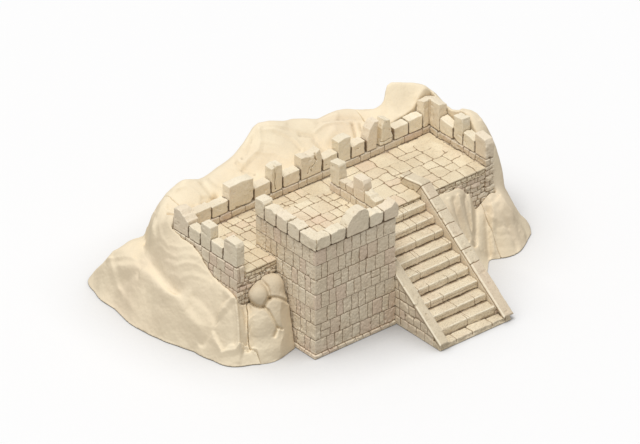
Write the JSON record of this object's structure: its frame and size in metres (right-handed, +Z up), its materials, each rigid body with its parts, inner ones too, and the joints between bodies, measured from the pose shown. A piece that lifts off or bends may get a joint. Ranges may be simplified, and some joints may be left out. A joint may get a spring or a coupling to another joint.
{
  "type": "miniature terrain ruin",
  "caption": "Tabletop scenery: a ruined stone watch tower, walled walkway and stair bedded into a rock outcrop, built from separate stones, slabs and boulders.",
  "frame": {"origin": "middle of the footprint's bounding box, on the table surface", "axes": "+X along the tower front towards the stair and the right terrace, +Y from the stair foot back to the hill, +Z up"},
  "size_m": [0.3184, 0.2478, 0.1099],
  "materials": {
    "rock": "matt cast resin, fine sandy grain",
    "wall_masonry": "matt cast resin, fine sandy grain",
    "parapet_stone": "matt cast resin, fine sandy grain",
    "flagstone": "matt cast resin, fine sandy grain",
    "step_stone": "matt cast resin, fine sandy grain",
    "coping_stone": "matt cast resin, fine sandy grain"
  },
  "bodies": {
    "root": {"back_merlon_cracked": "parapet_stone", "back_merlon_leaning": "parapet_stone", "back_merlon_narrow": "parapet_stone", "back_merlon_slanted": "parapet_stone", "back_merlon_split": "parapet_stone", "back_merlon_wide": "parapet_stone", "back_wall": "wall_masonry", "corner_merlon_left_back": "parapet_stone", "corner_merlon_right_back": "parapet_stone", "left_low_stone_back": "parapet_stone", "left_low_stone_front": "parapet_stone", "left_merlon_back": "parapet_stone", "left_merlon_corner": "parapet_stone", "left_terrace_floor": "flagstone", "left_terrace_wall": "wall_masonry", "right_low_stone_back": "parapet_stone", "right_low_stone_front": "parapet_stone", "right_merlon_end": "parapet_stone", "right_merlon_middle": "parapet_stone", "right_side_wall": "wall_masonry", "right_terrace_floor": "flagstone", "right_terrace_front_wall": "wall_masonry", "rock_back_ridge": "rock", "rock_front_boulders": "rock", "rock_left_hill": "rock", "rock_peak": "rock", "rock_right_buttress": "rock", "rock_right_flank": "rock", "stair_base_slab": "step_stone", "stair_left_coping": "coping_stone", "stair_left_wall": "wall_masonry", "stair_right_coping": "coping_stone", "stair_right_wall": "wall_masonry", "stair_step_1": "step_stone", "stair_step_2": "step_stone", "stair_step_3": "step_stone", "stair_step_4": "step_stone", "stair_step_5": "step_stone", "stair_step_6": "step_stone", "stair_step_7": "step_stone", "stair_step_8": "step_stone", "stair_step_9": "step_stone", "terrace_core": "wall_masonry", "tower_block": "wall_masonry", "tower_corner_stone": "parapet_stone", "tower_floor": "flagstone", "tower_front_arch_stone": "parapet_stone", "tower_front_stone_1": "parapet_stone", "tower_front_stone_2": "parapet_stone", "tower_front_stone_3": "parapet_stone", "tower_left_stone_1": "parapet_stone", "tower_left_stone_2": "parapet_stone", "tower_left_stone_3": "parapet_stone", "tower_merlon_left": "parapet_stone", "tower_merlon_right_back": "parapet_stone", "tower_merlon_right_middle": "parapet_stone", "tower_right_broken_stone": "parapet_stone", "tower_right_parapet_course": "wall_masonry", "walkway_floor": "flagstone"}
  },
  "joints": []
}
